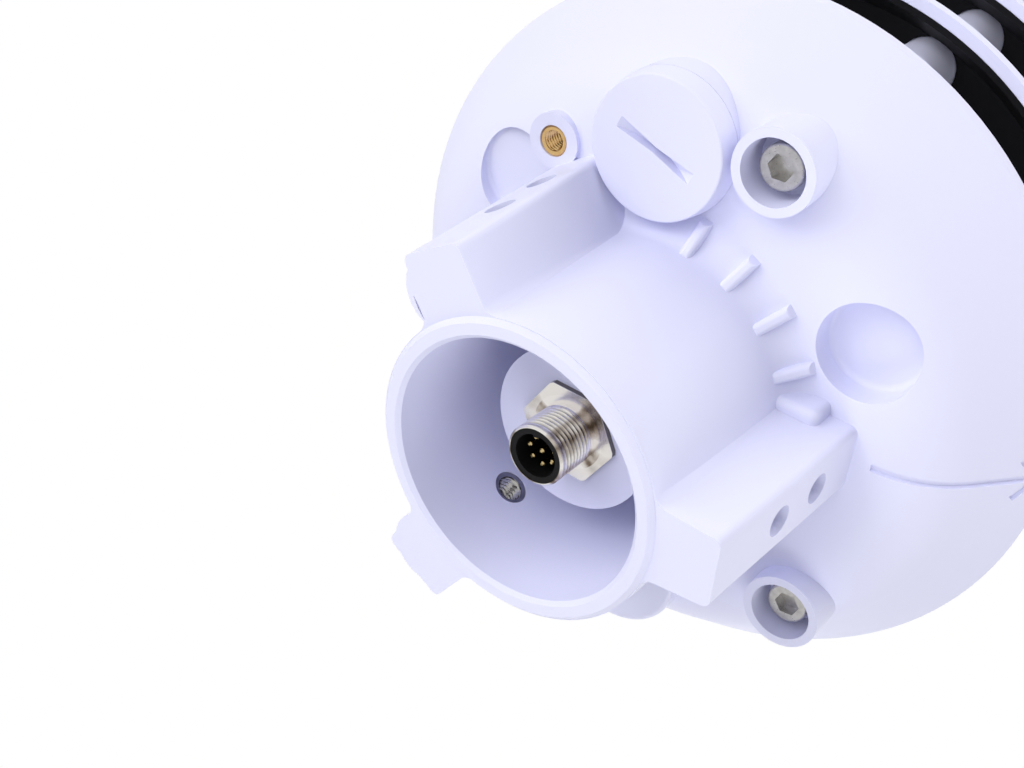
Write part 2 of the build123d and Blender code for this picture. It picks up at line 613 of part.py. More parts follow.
def wind_housing():
    z0 = HEAD_Z + HEAD_FLOOR_T
    outer = turned([(0, z0), (HEAD_R - 3.2, z0), (HEAD_R, z0 + 8), (HEAD_R, HEAD_TOP - 7),
                    (HEAD_R - 3, HEAD_TOP - 2.4), (HEAD_R - 9, HEAD_TOP), (0, HEAD_TOP)])
    inner = turned([(0, z0 - 1), (HEAD_R - WALL - 2.7, z0 - 1), (HEAD_R - WALL - 2.7, z0 + 3),
                    (HEAD_R - WALL, z0 + 8.5), (HEAD_R - WALL, HEAD_TOP - 7.5),
                    (HEAD_R - 10, HEAD_TOP - WALL), (0, HEAD_TOP - WALL)])
    keep = Part() + head_columns(z0, HEAD_TOP)
    for azimuth in POST_AZ:
        x, y, z = polar(POST_PCR, azimuth)
        keep += rod(POST_R, HEAD_TOP - 12, HEAD_TOP, (x, y))
    body = outer - (inner - keep)
    insert_top = z0 + 0.5 + TIE_INSERT_LEN
    for azimuth in TIE_AZ:
        x, y, z = polar(TIE_PCR, azimuth)
        body -= rod(TIE_INSERT_R, z0 - 1, insert_top, (x, y))
        body -= rod(TIE_HOLE_R, z0, TIE_SEAT_Z + TIE_LEN + 1.5, (x, y))
    for azimuth in POST_AZ:
        x, y, z = polar(POST_PCR, azimuth)
        body -= rod(CAP_SCREW_R + THREAD_GAP, HEAD_TOP - 10, HEAD_TOP + 1, (x, y))
    for azimuth in SENSOR_AZ:
        x, y, z = polar(SENSOR_PCR, azimuth)
        body -= rod(SENSOR_R + SEAL_T, HEAD_TOP - WALL - 1, HEAD_TOP + 1, (x, y))
    return body


def tie_inserts():
    z0 = HEAD_Z + HEAD_FLOOR_T + 0.5
    body = ring(TIE_INSERT_R, TIE_SHANK_R + 0.03, z0, z0 + TIE_INSERT_LEN, (TIE_PCR, 0))
    return around(body, TIE_AZ)


def tie_screws():
    head = rod(TIE_HEAD_R, TIE_SEAT_Z - TIE_HEAD_H, TIE_SEAT_Z)
    head = fillet(head.edges().sort_by(Axis.Z)[0], 0.5)
    mouth_z = TIE_SEAT_Z - TIE_HEAD_H
    head -= hexagon(TIE_SOCKET_AF, mouth_z - 1, mouth_z + 2.5, TIE_SOCKET_TURN)
    shank = rod(TIE_SHANK_R, TIE_SEAT_Z - 0.1, TIE_SEAT_Z + TIE_LEN)
    shank = chamfer(shank.edges().sort_by(Axis.Z)[-1], 0.4)
    return around(Pos(TIE_PCR, 0, 0) * (head + shank), TIE_AZ)


def wind_board():
    body = rod(WIND_BOARD_R, WIND_BOARD_Z, WIND_BOARD_Z + BOARD_T)
    for azimuth in WIND_POST_AZ:
        x, y, z = polar(WIND_POST_PCR, azimuth)
        body -= rod(BOARD_SCREW_R + 0.3, WIND_BOARD_Z - 1, WIND_BOARD_Z + BOARD_T + 1, (x, y))
    return body


def wind_board_screws():
    top = WIND_BOARD_Z + BOARD_T
    head = fillet(rod(2.8, top, top + 2.0).edges().sort_by(Axis.Z)[-1], 0.8)
    shank = rod(BOARD_SCREW_R, WIND_BOARD_Z - 4.5, top + 0.1)
    return around(Pos(WIND_POST_PCR, 0, 0) * (head + shank), WIND_POST_AZ)


def transducer(azimuth):
    body = rod(SENSOR_R, HEAD_TOP - 10, HEAD_TOP + 1.0)
    body = fillet(body.edges().sort_by(Axis.Z)[-1], 0.8)
    x, y, z = polar(SENSOR_PCR, azimuth)
    return Pos(x, y, 0) * body


def transducer_seal(azimuth):
    z0 = HEAD_TOP - WALL - 0.8
    at = polar(SENSOR_PCR, azimuth)
    return ring(SENSOR_R + SEAL_T, SENSOR_R, z0, HEAD_TOP + 0.4, at)


def top_cap():
    roof = turned([(0, GAP_TOP), (CAP_R - 2, GAP_TOP), (CAP_R, GAP_TOP + 2), (CAP_R, CAP_TOP - 9),
                   (CAP_R - 4, CAP_TOP - 4), (CAP_R - 16, CAP_TOP - 1), (0, CAP_TOP)])
    post = rod(POST_R, HEAD_TOP, GAP_TOP + 1, (POST_PCR, 0))
    for azimuth in POST_AZ:
        roof += Rot(0, 0, azimuth) * post
    bore = rod(CAP_SCREW_R + 0.3, HEAD_TOP - 1, CAP_TOP + 1, (POST_PCR, 0))
    head_bore = rod(4.2, CAP_SEAT_Z, CAP_TOP + 1, (POST_PCR, 0))
    for azimuth in POST_AZ:
        roof -= Rot(0, 0, azimuth) * (bore + head_bore)
    return roof


def cap_screws():
    head = rod(3.5, CAP_SEAT_Z, CAP_SEAT_Z + 4.0)
    head = fillet(head.edges().sort_by(Axis.Z)[-1], 0.4)
    head -= hexagon(3.0, CAP_SEAT_Z + 2.0, CAP_SEAT_Z + 5)
    shank = rod(CAP_SCREW_R, HEAD_TOP - 9, CAP_SEAT_Z + 0.1)
    return around(Pos(POST_PCR, 0, 0) * (head + shank), POST_AZ)


NODES = {
    "base_moulding": base_moulding,
    "pole_inserts": pole_inserts,
    "accessory_insert": accessory_insert,
    "blanking_plug": blanking_plug,
    "plug_seal": plug_seal,
    "connector_shell": connector_shell,
    "connector_gasket": connector_gasket,
    "connector_carrier": connector_carrier,
    "connector_pins": connector_pins,
    "connector_nut": connector_nut,
    "main_board": main_board,
    "board_screws": board_screws,
    "base_cover": base_cover,
    "cover_seal": cover_seal,
    "probe_body": probe_body,
    "probe_filter": probe_filter,
    "wind_floor": wind_floor,
    "wind_housing": wind_housing,
    "tie_inserts": tie_inserts,
    "tie_screws": tie_screws,
    "wind_board": wind_board,
    "wind_board_screws": wind_board_screws,
    "top_cap": top_cap,
    "cap_screws": cap_screws,
}

os.makedirs("parts", exist_ok=True)
for name, make in NODES.items():
    made = make()
    if isinstance(made, list):
        made = Compound(children=made)
    export_step(made, f"parts/{name}.step")
for level in range(1, PLATE_COUNT + 1):
    export_step(louvre_plate(level), f"parts/louvre_plate_{level}.step")
    export_step(louvre_liner(level), f"parts/louvre_liner_{level}.step")
for number, azimuth in enumerate(SENSOR_AZ, start=1):
    export_step(transducer(azimuth), f"parts/transducer_{number}.step")
    export_step(transducer_seal(azimuth), f"parts/transducer_seal_{number}.step")
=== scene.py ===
import math

import bmesh
import bpy
from mathutils import Matrix, Vector, kdtree


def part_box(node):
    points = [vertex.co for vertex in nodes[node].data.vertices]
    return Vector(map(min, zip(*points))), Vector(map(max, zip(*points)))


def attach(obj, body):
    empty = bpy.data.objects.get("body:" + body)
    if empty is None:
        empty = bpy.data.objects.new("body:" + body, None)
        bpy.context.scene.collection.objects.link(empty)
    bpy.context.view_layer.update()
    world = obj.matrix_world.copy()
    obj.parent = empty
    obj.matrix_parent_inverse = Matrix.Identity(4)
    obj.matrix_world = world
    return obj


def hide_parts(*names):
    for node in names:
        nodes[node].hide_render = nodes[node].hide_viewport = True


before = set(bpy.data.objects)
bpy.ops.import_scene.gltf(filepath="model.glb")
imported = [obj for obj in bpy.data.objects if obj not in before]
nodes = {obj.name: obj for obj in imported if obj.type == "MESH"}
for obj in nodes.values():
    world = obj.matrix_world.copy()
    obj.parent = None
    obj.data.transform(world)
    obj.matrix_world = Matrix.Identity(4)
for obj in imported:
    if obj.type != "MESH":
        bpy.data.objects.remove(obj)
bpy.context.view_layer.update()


# White housing: the base moulding, louvre plates and wind head are moulded in one white,
# weatherproof plastic. Their skin is satin with a fine spark-eroded grain, and the moulded
# colour is even, with a faint bloom where the plastic flowed thin.
class Socket:
    """One socket of a material's nodes, on which + - * > and < add Math nodes."""

    def __init__(self, tree, socket):
        self.tree, self.socket = tree, socket

    def add(self, kind, settings=None, inputs=None, output=0):
        """Adds a node by type, settings and socket values or links, and gives an output."""
        node = self.tree.nodes.new(kind)
        for name, value in (settings or {}).items():
            if name == "stops":
                elements = node.color_ramp.elements
                elements[0].position, elements[0].color = value[0]
                elements[-1].position, elements[-1].color = value[-1]
                for place, colour in value[1:-1]:
                    elements.new(place).color = colour
            else:
                setattr(node, name, value)
        for name, value in (inputs or {}).items():
            if isinstance(value, Socket):
                self.tree.links.new(value.socket, node.inputs[name])
            else:
                node.inputs[name].default_value = value
        return Socket(self.tree, node.outputs[output])

    def maths(self, operation, first, second):
        return self.add("ShaderNodeMath", {"operation": operation}, {0: first, 1: second})

    def __add__(self, other):
        return self.maths("ADD", self, other)

    def __radd__(self, other):
        return self.maths("ADD", other, self)

    def __sub__(self, other):
        return self.maths("SUBTRACT", self, other)

    def __rsub__(self, other):
        return self.maths("SUBTRACT", other, self)

    def __mul__(self, other):
        return self.maths("MULTIPLY", self, other)

    def __rmul__(self, other):
        return self.maths("MULTIPLY", other, self)

    def __gt__(self, other):
        return self.maths("GREATER_THAN", self, other)

    def __lt__(self, other):
        return self.maths("LESS_THAN", self, other)

    def noise(self, size, detail=2.0):
        """Soft noise between 0 and 1, of spots about that many metres wide."""
        return self.add("ShaderNodeTexNoise", {},
                        {"Vector": self, "Scale": 1 / size, "Detail": detail})

    def blend(self, low, high):
        """A colour between two others, with this value as the mask."""
        return self.add("ShaderNodeMix", {"data_type": "RGBA"}, {0: self, 6: low, 7: high}, 2)

    def bump(self, height):
        """A normal from this value, where 1 stands that many metres proud."""
        return self.add("ShaderNodeBump", {}, {"Height": self, "Distance": height})


def new_finish(name, **fixed):
    """A material with one shader, its even values set, and the object's coordinates in metres."""
    finish = bpy.data.materials.new(name)
    finish.use_nodes = True
    tree = finish.node_tree
    shader = tree.nodes["Principled BSDF"]
    for words, value in fixed.items():
        shader.inputs[words.replace("_", " ")].default_value = value
    place = Socket(tree, tree.nodes.new("ShaderNodeTexCoord").outputs["Object"])
    return finish, shader, place


def feed(shader, **varying):
    """Joins what changes over the surface to the shader's sockets."""
    for words, value in varying.items():
        value.tree.links.new(value.socket, shader.inputs[words.replace("_", " ")])


def cover(finish, *names):
    """Gives CAD nodes that finish in every one of their material slots."""
    for name in names:
        slots = nodes[name].data.materials
        slots.clear()
        slots.append(finish)


WHITE = (0.730, 0.740, 0.948, 1)
WHITE_THIN = (0.748, 0.759, 0.960, 1)
white_plastic, shader, place = new_finish("white_plastic", IOR=1.46, Specular_IOR_Level=0.42)
flow = place.noise(0.045)
grain = place.noise(0.00032, detail=3.0) * 0.6 + place.noise(0.0011) * 0.4
feed(shader,
     Base_Color=flow.blend(WHITE, WHITE_THIN),
     Roughness=0.40 + place.noise(0.006) * 0.08,
     Normal=grain.bump(0.000018))
cover(white_plastic, "base_cover", "wind_floor", "wind_housing", "top_cap",
      *[f"louvre_plate_{i}" for i in (1, 2, 3)])


# Base moulding: the bowl, pole tube, three lugs and bosses are one moulding, made by the
# same tool and so in the same skin. A north mark, a plain arrow, is sunk into the bowl
# over the north lug, and a thin crescent into the end of the lug beside the plug.
ARROW_WIDTH = 0.0015
ARROW_DEPTH = 0.0007
ARROW_START = 0.0473
ARROW_TIP = 0.0721
ARROW_STEPS = 28
BARB_START = (0.0044, 0.0694)
BARB_PAST_TIP = (0.0004, 0.0002)
BARB_STEPS = 8
CRESCENT_AZ = -30.0
# Points along and across the lug, each with the width of the cut there
CRESCENT = ((0.0299, -0.0072, 0.0001), (0.0310, -0.0074, 0.0003), (0.0322, -0.0075, 0.0004),
            (0.0333, -0.0076, 0.0003), (0.0344, -0.0076, 0.0001))
CRESCENT_Z = 0.001
CRESCENT_DEPTH = 0.0012
MARK_PROUD = 0.001
MARK_OPENS = 1.3
MARK_NARROWS = 0.8
BELOW_BASE = -0.05
JOIN_WITHIN = 1e-7
SAME_POINT = 2e-6
SAME_WALL = 0.9


def solid_from(name, rings, closed=True):
    """A mesh whose rings of points are joined one after the other, with flat ends if closed,
    or with the last ring joined to the first."""
    mesh = bpy.data.meshes.new(name)
    build = bmesh.new()
    rows = [[build.verts.new(point) for point in points] for points in rings]
    pairs = list(zip(rows, rows[1:]))
    if closed:
        build.faces.new(list(reversed(rows[0])))
        build.faces.new(rows[-1])
    else:
        pairs.append((rows[-1], rows[0]))
    for low, high in pairs:
        for i in range(len(low)):
            j = (i + 1) % len(low)
            build.faces.new((low[i], low[j], high[j], high[i]))
    bmesh.ops.recalc_face_normals(build, faces=build.faces)
    build.to_mesh(mesh)
    build.free()
    return mesh


def stand(name, data):
    """An object of that mesh, lamp or camera, linked into the scene."""
    thing = bpy.data.objects.new(name, data)
    bpy.context.scene.collection.objects.link(thing)
    return thing


def show(name, mesh, finish, body="station", smooth=35):
    """A mesh as a piece on its body, in its finish, sharp where it turns by that many degrees."""
    piece = stand(name, mesh)
    mesh.materials.clear()
    mesh.materials.append(finish)
    mesh.shade_smooth()
    if smooth:
        mesh.set_sharp_from_angle(angle=math.radians(smooth))
    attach(piece, body)
    return piece


def along_skin(start, end, steps):
    """Points from start to end in plan, dropped onto the base's underside, each with its
    normal and the arrow's width."""
    stroke = []
    for i in range(steps + 1):
        x, y = (a + (b - a) * i / steps for a, b in zip(start, end))
        below, up = Vector((x, y, BELOW_BASE)), Vector((0, 0, 1))
        spot, normal = nodes["base_moulding"].ray_cast(below, up)[1:3]
        stroke.append((spot, normal, ARROW_WIDTH))
    return stroke


def groove(name, stroke, depth):
    """The cutter of a groove: a bar of four corners along the stroke, narrower at its floor."""
    rings = []
    for i, (spot, normal, width) in enumerate(stroke):
        ahead = (stroke[min(i + 1, len(stroke) - 1)][0] - stroke[max(i - 1, 0)][0]).normalized()
        side = normal.cross(ahead) * width / 2
        top, floor = spot + normal * MARK_PROUD, spot - normal * depth
        rings.append((top - side * MARK_OPENS, top + side * MARK_OPENS,
                      floor + side * MARK_NARROWS, floor - side * MARK_NARROWS))
    return stand(name, solid_from(name, rings))


def cut(mesh, cutters):
    """The mesh less the cutters, which are then deleted."""
    build = bmesh.new()
    build.from_mesh(mesh)
    bmesh.ops.remove_doubles(build, verts=build.verts, dist=JOIN_WITHIN)
    build.to_mesh(mesh)
    build.free()
    blank = stand("blank", mesh)
    for cutter in cutters:
        step = blank.modifiers.new(cutter.name, "BOOLEAN")
        step.operation, step.solver, step.object = "DIFFERENCE", "EXACT", cutter
    shaped = blank.evaluated_get(bpy.context.evaluated_depsgraph_get())
    result = bpy.data.meshes.new_from_object(shaped)
    for done in [blank, *cutters]:
        bpy.data.objects.remove(done)
    return result


def shade_as(mesh, source):
    """Gives a cut mesh the normals of the one it was cut from, and its new walls flat ones."""
    tree = kdtree.KDTree(len(source.vertices))
    for vertex in source.vertices:
        tree.insert(vertex.co, vertex.index)
    tree.balance()
    corners = [[] for vertex in source.vertices]
    for polygon in source.polygons:
        for loop in polygon.loop_indices:
            corners[source.loops[loop].vertex_index].append((polygon.normal.copy(), loop))
    kept = [Vector(value.vector) for value in source.corner_normals]
    normals = [None] * len(mesh.loops)
    for polygon in mesh.polygons:
        facing = polygon.normal.copy()
        for loop in polygon.loop_indices:
            spot = mesh.vertices[mesh.loops[loop].vertex_index].co
            near = [pair for co, index, away in tree.find_range(spot, SAME_POINT)
                    for pair in corners[index]]
            if not near:
                near = corners[tree.find(spot)[1]]
            wall, corner = max(near, key=lambda pair: pair[0].dot(facing))
            normals[loop] = kept[corner] if wall.dot(facing) > SAME_WALL else facing
    mesh.shade_smooth()
    mesh.normals_split_custom_set(normals)


strokes = [along_skin((0, ARROW_START), (0, ARROW_TIP), ARROW_STEPS)]
for side in (-1, 1):
    barb_end = (-side * BARB_PAST_TIP[0], ARROW_TIP + BARB_PAST_TIP[1])
    strokes.append(along_skin((side * BARB_START[0], BARB_START[1]), barb_end, BARB_STEPS))
cutters = [groove(f"north_mark_{i}", stroke, ARROW_DEPTH) for i, stroke in enumerate(strokes)]
turn = Matrix.Rotation(math.radians(CRESCENT_AZ), 3, "Z")
crescent = [(turn @ Vector((x, y, CRESCENT_Z)), Vector((0, 0, -1)), width)
            for x, y, width in CRESCENT]
cutters.append(groove("lug_crescent", crescent, CRESCENT_DEPTH))
whole = nodes["base_moulding"].data
base = cut(whole.copy(), cutters)
piece = show("base_moulding_marked", base, white_plastic, smooth=None)
shade_as(base, whole)
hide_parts("base_moulding")


# Blanking plug: a white moulded plug that closes the cable hole in the bowl. Its head draws in
# by half a millimetre from the boss it sits on to the slotted face, so that it leaves its tool.
PLUG_HEAD_R = 0.0136
PLUG_FOOT_R = 0.01415
PLUG_HEAD_H = 0.0048
ON_HEAD_SIDE = 0.00002
low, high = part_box("blanking_plug")
middle = (low + high) / 2
plug = nodes["blanking_plug"].data.copy()
for vertex in plug.vertices:
    out = Vector((vertex.co.x - middle.x, vertex.co.y - middle.y))
    if abs(out.length - PLUG_HEAD_R) < ON_HEAD_SIDE:
        rise = min(1.0, (vertex.co.z - low.z) / PLUG_HEAD_H)
        wider = 1 + (PLUG_FOOT_R / PLUG_HEAD_R - 1) * rise
        vertex.co.x, vertex.co.y = middle.x + out.x * wider, middle.y + out.y * wider
piece = show("blanking_plug_drafted", plug, white_plastic, body="plug", smooth=None)
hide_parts("blanking_plug")


# Louvre linings: black plates clipped under each white louvre, so that no light is thrown
# onto the probe from below. They are moulded in matt black, as are the probe's body and
# the connector's insulator.
black_plastic, shader, place = new_finish("black_plastic", IOR=1.45, Specular_IOR_Level=0.22)
feed(shader,
     Base_Color=place.noise(0.02).blend((0.0035, 0.0035, 0.0040, 1), (0.0055, 0.0055, 0.0060, 1)),
     Roughness=0.50 + place.noise(0.004) * 0.10,
     Normal=place.noise(0.0005).bump(0.00002))
cover(black_plastic, "connector_carrier", "probe_body", *[f"louvre_liner_{i}" for i in (1, 2, 3)])


# Seals: the plug's ring, the connector's gasket, the cover's cord and the cups of the four
# transducers are black rubber, dull and a little dusty.
rubber, shader, place = new_finish("rubber", IOR=1.5, Specular_IOR_Level=0.3)
feed(shader,
     Base_Color=place.noise(0.003).blend((0.020, 0.020, 0.021, 1), (0.034, 0.034, 0.036, 1)),
     Roughness=0.62 + place.noise(0.0008) * 0.15,
     Normal=place.noise(0.0004).bump(0.00003))
cover(rubber, "plug_seal", "connector_gasket", "cover_seal",
      *[f"transducer_seal_{i}" for i in (1, 2, 3, 4)])


# Tie screws: long stainless socket screws that go up through the bowl and hold the whole
# stack together. Their heads are turned and tumbled, with a hexagon socket struck cold, and
# the small screws of the boards and the cap are made the same way.
stainless, shader, place = new_finish("stainless", Metallic=1.0)
streak = place.noise(0.0012, detail=4.0)
feed(shader,
     Base_Color=streak.blend((0.38, 0.37, 0.36, 1), (0.74, 0.725, 0.71, 1)),
     Roughness=0.20 + place.noise(0.0005) * 0.22,
     Normal=(place.noise(0.0004, detail=3.0) * 0.5 + streak * 0.5).bump(0.00005))
cover(stainless, "tie_screws", "board_screws", "wind_board_screws", "cap_screws")


# Connector shell: brass turned from bar and nickel plated, with a rolled 12 mm thread, a
# plain collar and a hexagon flange that is pulled down onto the pedestal by a nut inside.
SHELL_TIP = 0.0077
SHELL_END = 0.029
SHELL_R = 0.0060
SHELL_BORE_R = 0.0055
SHELL_CHAMFER = 0.00035
COLLAR_R = 0.0074
THREAD_TURN = 0.0010
THREAD_DEEP = 0.00052
THREAD_FROM = 0.0083
THREAD_TO = 0.0167
THREAD_ROWS = 8
THREAD_STEEP = 2.6
THREAD_CREST = 0.12
HEX_FROM = 0.0179
HEX_TO = 0.0191
HEX_SUNK = 0.0002
HEX_FLAT = 0.0176 / 2
HEX_CORNER = HEX_FLAT / math.cos(math.pi / 6)
HEX_BORE_R = 0.0058
HEX_BEVEL = 0.0002
HEX_BEVEL_H = 0.00012
HEX_CLEAR = 0.0001
HEX_TURN = math.radians(33.0)
HEX_STEPS = 72


def ring(height, steps, radius):
    """A ring of points at a height, with its radius given as a function of the angle."""
    angles = [2 * math.pi * i / steps for i in range(steps)]
    return [(radius(angle) * math.cos(angle), radius(angle) * math.sin(angle), height)
            for angle in angles]


def turn_profile(name, profile, thread, steps=96, inside=False):
    """A turned mesh from (radius, height) points, with a helix cut into a stretch of them.

    thread is (from, to, pitch, depth): between those heights the radius falls by up to depth,
    or grows by it where inside says that the thread is in a bore.
    """
    start, end, pitch, deep = thread
    points = []
    for (r0, z0), (r1, z1) in zip(profile, profile[1:] + profile[:1]):
        pieces = 1
        if r0 == r1 and min(z0, z1) < end and max(z0, z1) > start:
            pieces = max(1, round(abs(z1 - z0) / pitch * THREAD_ROWS))
        for i in range(pieces):
            share = i / pieces
            points.append((r0 + (r1 - r0) * share, z0 + (z1 - z0) * share, pieces > 1 and i > 0))
    rings = []
    for radius, height, in_wall in points:
        def thread_radius(angle):
            if not (in_wall and start < height < end):
                return radius
            phase = (height / pitch - angle / (2 * math.pi)) % 1.0
            sunk = min(1.0, max(0.0, THREAD_STEEP * (0.5 - abs(phase - 0.5)) - THREAD_CREST))
            fade = min(1.0, (height - start) / pitch, (end - height) / pitch)
            return radius + (1 if inside else -1) * deep * sunk * fade
        rings.append(ring(height, steps, thread_radius))
    return solid_from(name, rings, closed=False)


def hexagon(radius, height):
    """A ring on the flange's hexagon, cut off at that radius."""
    def to_flat(angle):
        return min(radius, HEX_FLAT / math.cos((angle - HEX_TURN) % (math.pi / 3) - math.pi / 6))
    return ring(height, HEX_STEPS, to_flat)


shell = turn_profile("connector_shell_threaded", [
    (SHELL_BORE_R, SHELL_TIP), (SHELL_R - SHELL_CHAMFER, SHELL_TIP),
    (SHELL_R, SHELL_TIP + SHELL_CHAMFER), (SHELL_R, HEX_FROM + HEX_SUNK),
    (COLLAR_R, HEX_FROM + HEX_SUNK), (COLLAR_R, SHELL_END), (SHELL_BORE_R, SHELL_END)],
    thread=(THREAD_FROM, THREAD_TO, THREAD_TURN, THREAD_DEEP))
flange = solid_from("flange", [
    hexagon(HEX_CORNER - HEX_BEVEL, HEX_FROM),
    hexagon(HEX_CORNER + HEX_CLEAR, HEX_FROM + HEX_BEVEL_H),
    hexagon(HEX_CORNER + HEX_CLEAR, HEX_TO), ring(HEX_TO, HEX_STEPS, lambda angle: HEX_BORE_R),
    ring(HEX_FROM, HEX_STEPS, lambda angle: HEX_BORE_R)], closed=False)
build = bmesh.new()
build.from_mesh(shell)
build.from_mesh(flange)
build.to_mesh(shell)
build.free()
bpy.data.meshes.remove(flange)

# Its plating is bright on the crests, with a painted highlight on the flange's face, painted
# reflections in dark and bright bands round the axis, and painted shade in the thread's roots and
# on the hexagon's sides.
CREST_BAND = 0.00008
FACE_FROM_R = 0.0075
SIDES_FROM_R = 0.0080
SIDES_FROM_Z = HEX_FROM + 0.00010
# Painted shade, put into the thread's roots and onto the hexagon's sides
ROOT_AND_SIDE_SHADE = (0.045, 0.036, 0.030, 1)
# Stops of the painted reflection bands, and how much the painted highlight on the flange's face
# and the painted shade in the roots and on the sides take of theirs
PLATING_REFLECTIONS = [(0.35, (0.20, 0.15, 0.11, 1)), (0.44, (0.62, 0.56, 0.50, 1)),
           (0.52, (0.95, 0.92, 0.88, 1))]
FACE_HIGHLIGHT = 0.65
ROOT_DARK = 0.9
SIDES_DARK = 0.85
nickel, shader, place = new_finish("nickel", Metallic=1.0)
across = place.add("ShaderNodeVectorMath", {"operation": "MULTIPLY"}, {0: place, 1: (1, 1, 0)})
around = across.add("ShaderNodeVectorMath", {"operation": "NORMALIZE"}, {0: across})
from_axis = across.add("ShaderNodeVectorMath", {"operation": "LENGTH"}, {0: across}, "Value")
height = place.add("ShaderNodeSeparateXYZ", {}, {"Vector": place}, "Z")
# Painted reflections: dark and bright bands round the axis, over a finer mottle
reflection_bands = around.noise(0.60, detail=1.0) * 0.8 + place.noise(0.0022, detail=3.0) * 0.2
plating_and_reflections = reflection_bands.add("ShaderNodeValToRGB", {"stops": PLATING_REFLECTIONS}, {"Fac": reflection_bands})
# Painted highlight: the flange's face is lightened towards a pale colour
face_highlight = (from_axis > FACE_FROM_R) * FACE_HIGHLIGHT
plating_and_reflections = face_highlight.blend(plating_and_reflections, (0.90, 0.865, 0.82, 1))
# Painted shade in the thread's roots, darker the deeper the root
depth = (SHELL_R - CREST_BAND - from_axis) * (1 / THREAD_DEEP)
root_shade = depth.add("ShaderNodeClamp", {}, {"Value": depth}) * ROOT_DARK
in_thread = (height < THREAD_TO) * (height > THREAD_FROM)
# Painted shade on the hexagon's sides
side_shade = (height > SIDES_FROM_Z) * (from_axis > SIDES_FROM_R) * SIDES_DARK
feed(shader,
     Base_Color=(root_shade * in_thread + side_shade).blend(plating_and_reflections, ROOT_AND_SIDE_SHADE),
     Roughness=0.14 + place.noise(0.0009) * 0.14,
     Normal=place.noise(0.0005).bump(0.000012))
piece = show("connector_shell_threaded", shell, nickel, smooth=32)
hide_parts("connector_shell")
cover(nickel, "connector_nut")


# Contacts: eight turned pins, gold over nickel. They are pressed into the insulator and
# stand in its round cavity, inside the shell's threaded end.
gold, shader, place = new_finish("gold_contact", Metallic=1.0)
feed(shader,
     Base_Color=place.noise(0.001).blend((0.60, 0.44, 0.20, 1), (0.74, 0.58, 0.30, 1)),
     Roughness=0.20 + place.noise(0.0006) * 0.1)
cover(gold, "connector_pins")


# Pole inserts: steel threaded bushes moulded into the tube's wall behind the lugs, one for
# each set screw that grips the pole. They are turned from bar, and darker than the screws.
LUG_AZIMUTHS = (90.0, -30.0, 212.1)
INSERT_Z = 0.0212
INSERT_R = 0.0035
INSERT_FACE_R = 0.0034
INSERT_MOUTH_R = 0.0031
INSERT_BORE_R = 0.0026
# Places along the insert's axis, from the pole's axis outward
INSERT_FACE = 0.0256
INSERT_EDGE = 0.0257
INSERT_THREAD_FROM = 0.0258
INSERT_THREAD_TO = 0.0325
INSERT_BACK = 0.0327
INSERT_TURN = 0.0011
INSERT_DEEP = 0.00062
INSERT_STEPS = 64
insert = turn_profile("pole_insert", [
    (INSERT_FACE_R, INSERT_FACE), (INSERT_R, INSERT_EDGE), (INSERT_R, INSERT_BACK),
    (INSERT_BORE_R, INSERT_BACK), (INSERT_BORE_R, INSERT_THREAD_FROM),
    (INSERT_MOUTH_R, INSERT_FACE)],
    thread=(INSERT_THREAD_FROM, INSERT_THREAD_TO, INSERT_TURN, INSERT_DEEP),
    steps=INSERT_STEPS, inside=True)
build = bmesh.new()
for azimuth in LUG_AZIMUTHS:
    copy = insert.copy()
    copy.transform(Matrix.Translation((0, 0, INSERT_Z))
                   @ Matrix.Rotation(math.radians(azimuth), 4, "Z")
                   @ Matrix.Rotation(math.pi / 2, 4, "Y"))
    build.from_mesh(copy)
    bpy.data.meshes.remove(copy)
inserts = bpy.data.meshes.new("pole_inserts_threaded")
build.to_mesh(inserts)
build.free()
insert_steel, shader, place = new_finish("insert_steel", Metallic=1.0)
feed(shader,
     Base_Color=place.noise(0.0015).blend((0.30, 0.29, 0.28, 1), (0.62, 0.61, 0.59, 1)),
     Roughness=0.10 + place.noise(0.0006) * 0.12)
piece = show("pole_inserts_threaded", inserts, insert_steel, smooth=40)
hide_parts("pole_inserts")


# Accessory insert: a turned brass bush with a blind thread, pressed into its boss in the bowl
# for an accessory or an earth screw. The tie screws' nuts in the wind head are brass too.
BUSH_R = 0.00315
BUSH_FACE_R = 0.00275
BUSH_MOUTH_R = 0.0025
BUSH_BORE_R = 0.0021
BUSH_CENTRE_R = 0.0003
BUSH_CHAMFER = 0.0004
BUSH_MOUTH_H = 0.0002
BUSH_END = 0.0012
BUSH_RUN_OUT = 0.0014
BUSH_TURN = 0.0008
BUSH_DEEP = 0.00052
BUSH_STEPS = 64
low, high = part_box("accessory_insert")
middle = (low + high) / 2
thread_from = low.z + BUSH_MOUTH_H
floor_z = high.z - BUSH_END
bush = turn_profile("accessory_insert_threaded", [
    (BUSH_FACE_R, low.z), (BUSH_R, low.z + BUSH_CHAMFER), (BUSH_R, high.z),
    (BUSH_CENTRE_R, high.z), (BUSH_CENTRE_R, floor_z), (BUSH_BORE_R, floor_z),
    (BUSH_BORE_R, thread_from), (BUSH_MOUTH_R, low.z)],
    thread=(thread_from, high.z - BUSH_RUN_OUT, BUSH_TURN, BUSH_DEEP),
    steps=BUSH_STEPS, inside=True)
bush.transform(Matrix.Translation((middle.x, middle.y, 0)))
brass, shader, place = new_finish("brass", Metallic=1.0)
feed(shader,
     Base_Color=place.noise(0.0016, detail=3.0).blend((0.66, 0.40, 0.15, 1),
                                                      (0.88, 0.62, 0.30, 1)),
     Roughness=0.12 + place.noise(0.0007) * 0.12,
     Normal=place.noise(0.0004).bump(0.00001))
piece = show("accessory_insert_threaded", bush, brass, smooth=40)
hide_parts("accessory_insert")
cover(brass, "tie_inserts")


